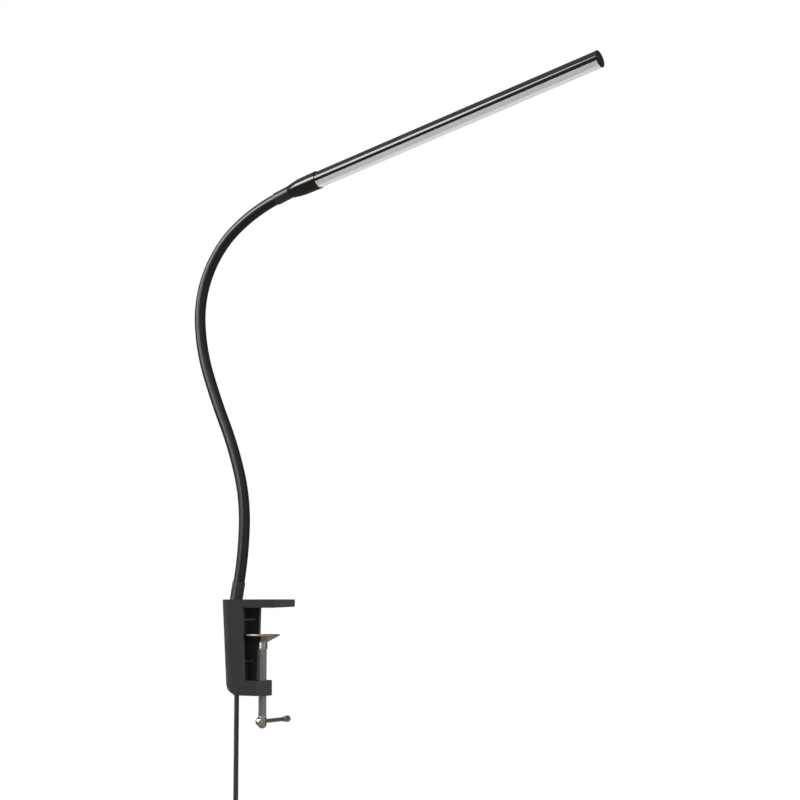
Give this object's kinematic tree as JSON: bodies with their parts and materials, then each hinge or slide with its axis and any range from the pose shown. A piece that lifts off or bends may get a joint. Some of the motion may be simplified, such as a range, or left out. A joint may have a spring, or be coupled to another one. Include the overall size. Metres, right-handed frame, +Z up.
{
  "type": "clamp lamp",
  "caption": "Clamp lamp: a screw clamp with a turning spindle and pressure cup carries a bending gooseneck and a slim light tube with an opal diffuser.",
  "frame": {"origin": "on the clamp spindle's axis, in the plane of the pad face that rests on the desk top", "axes": "+Z up along the spindle, +X along the jaws from the spine to the tip, the gooseneck and tube bend in the plane Y = 0"},
  "size_m": [0.4705, 0.0753, 0.9626],
  "materials": {
    "clamp_black": "satin",
    "pad_rubber": "matte",
    "nickel": "polished",
    "steel": "satin",
    "brass": "satin",
    "ferrule_black": "satin",
    "sleeve_black": "satin",
    "neck_black": "gloss",
    "tube_black": "gloss",
    "opal": "satin",
    "board_white": "satin",
    "led_yellow": "satin",
    "board_green": "gloss",
    "part_dark": "satin",
    "wire_red": "satin",
    "cord_black": "satin",
    "switch_black": "satin",
    "plug_black": "satin"
  },
  "bodies": {
    "root": {"clamp_frame": "clamp_black", "jaw_pad": "pad_rubber", "spindle_insert": "brass", "base_ferrule": "ferrule_black", "base_washer": "steel", "base_nut": "steel", "strain_relief": "cord_black", "cord_inner": "cord_black", "supply_cord": "cord_black", "switch_base": "switch_black", "switch_cover": "switch_black", "switch_screws": "steel", "cord_lower": "cord_black", "cord_hank": "cord_black", "hank_tie": "plug_black", "cord_tail": "cord_black", "plug_body": "plug_black", "plug_pins": "nickel", "gooseneck_sleeve_1": "sleeve_black", "gooseneck_hose_1": "steel", "gooseneck_flex_1": "cord_black"},
    "neck_2": {"gooseneck_sleeve_2": "sleeve_black", "gooseneck_hose_2": "steel", "gooseneck_flex_2": "cord_black"},
    "neck_3": {"gooseneck_sleeve_3": "sleeve_black", "gooseneck_hose_3": "steel", "gooseneck_flex_3": "cord_black"},
    "neck_4": {"gooseneck_sleeve_4": "sleeve_black", "gooseneck_hose_4": "steel", "gooseneck_flex_4": "cord_black"},
    "neck_5": {"gooseneck_sleeve_5": "sleeve_black", "gooseneck_hose_5": "steel", "gooseneck_flex_5": "cord_black"},
    "neck_6": {"gooseneck_sleeve_6": "sleeve_black", "gooseneck_hose_6": "steel", "gooseneck_flex_6": "cord_black"},
    "neck_7": {"gooseneck_sleeve_7": "sleeve_black", "gooseneck_hose_7": "steel", "gooseneck_flex_7": "cord_black"},
    "head": {"gooseneck_sleeve_8": "sleeve_black", "gooseneck_hose_8": "steel", "gooseneck_flex_8": "cord_black", "top_ferrule": "ferrule_black", "neck_cone": "neck_black", "collar_ring": "neck_black", "light_tube": "tube_black", "diffuser": "opal", "end_cap": "neck_black", "led_board": "board_white", "led_chips": "led_yellow", "driver_board": "board_green", "driver_parts": "part_dark", "lead_wires": "wire_red"},
    "cup": {"pressure_cup": "nickel", "cup_bush": "nickel"},
    "spindle": {"clamp_spindle": "nickel"},
    "bar": {"tommy_bar": "nickel", "tommy_knobs": "nickel"},
    "rocker": {"switch_rocker": "switch_black"}
  },
  "joints": [
    {"name": "neck_bend_1", "type": "hinge", "parent": "root", "child": "neck_2", "pos_m": [-0.02436, 0, 0.0814], "axis": [0, 1, 0], "range_deg": [-30, 30]},
    {"name": "neck_bend_2", "type": "hinge", "parent": "neck_2", "child": "neck_3", "pos_m": [-0.03143, 0, 0.13642], "axis": [0.9601, 0, 0.2795], "range_deg": [-30, 30]},
    {"name": "neck_bend_3", "type": "hinge", "parent": "neck_3", "child": "neck_4", "pos_m": [-0.05104, 0, 0.1885], "axis": [0, 1, 0], "range_deg": [-30, 30]},
    {"name": "neck_bend_4", "type": "hinge", "parent": "neck_4", "child": "neck_5", "pos_m": [-0.07251, 0, 0.23988], "axis": [0.9377, 0, 0.3474], "range_deg": [-30, 30]},
    {"name": "neck_bend_5", "type": "hinge", "parent": "neck_5", "child": "neck_6", "pos_m": [-0.08394, 0, 0.29419], "axis": [0, 1, 0], "range_deg": [-30, 30]},
    {"name": "neck_bend_6", "type": "hinge", "parent": "neck_6", "child": "neck_7", "pos_m": [-0.07284, 0, 0.34812], "axis": [0.8936, 0, -0.4489], "range_deg": [-30, 30]},
    {"name": "neck_bend_7", "type": "hinge", "parent": "neck_7", "child": "head", "pos_m": [-0.03684, 0, 0.38988], "axis": [0, 1, 0], "range_deg": [-30, 30]},
    {"name": "cup_travel", "type": "slide", "parent": "root", "child": "cup", "axis": [0, 0, 1], "range_m": [-0.03, 0.01875]},
    {"name": "spindle_turn", "type": "hinge", "parent": "cup", "child": "spindle", "pos_m": [0, 0, -0.07], "axis": [0, 0, 1], "range_deg": [-8641, 5401], "deforming": ["supply_cord"]},
    {"name": "bar_slide", "type": "slide", "parent": "spindle", "child": "bar", "axis": [-0.0958, 0.9954, 0], "range_m": [-0.039, 0]},
    {"name": "rocker_tip", "type": "hinge", "parent": "root", "child": "rocker", "pos_m": [-0.03195, -0.0046, -0.234], "axis": [1, 0, 0], "range_deg": [-16, 0]}
  ],
  "couplings": [
    {"joint": "spindle_turn", "follows": "cup_travel", "rad_per_m": 5026.5}
  ]
}
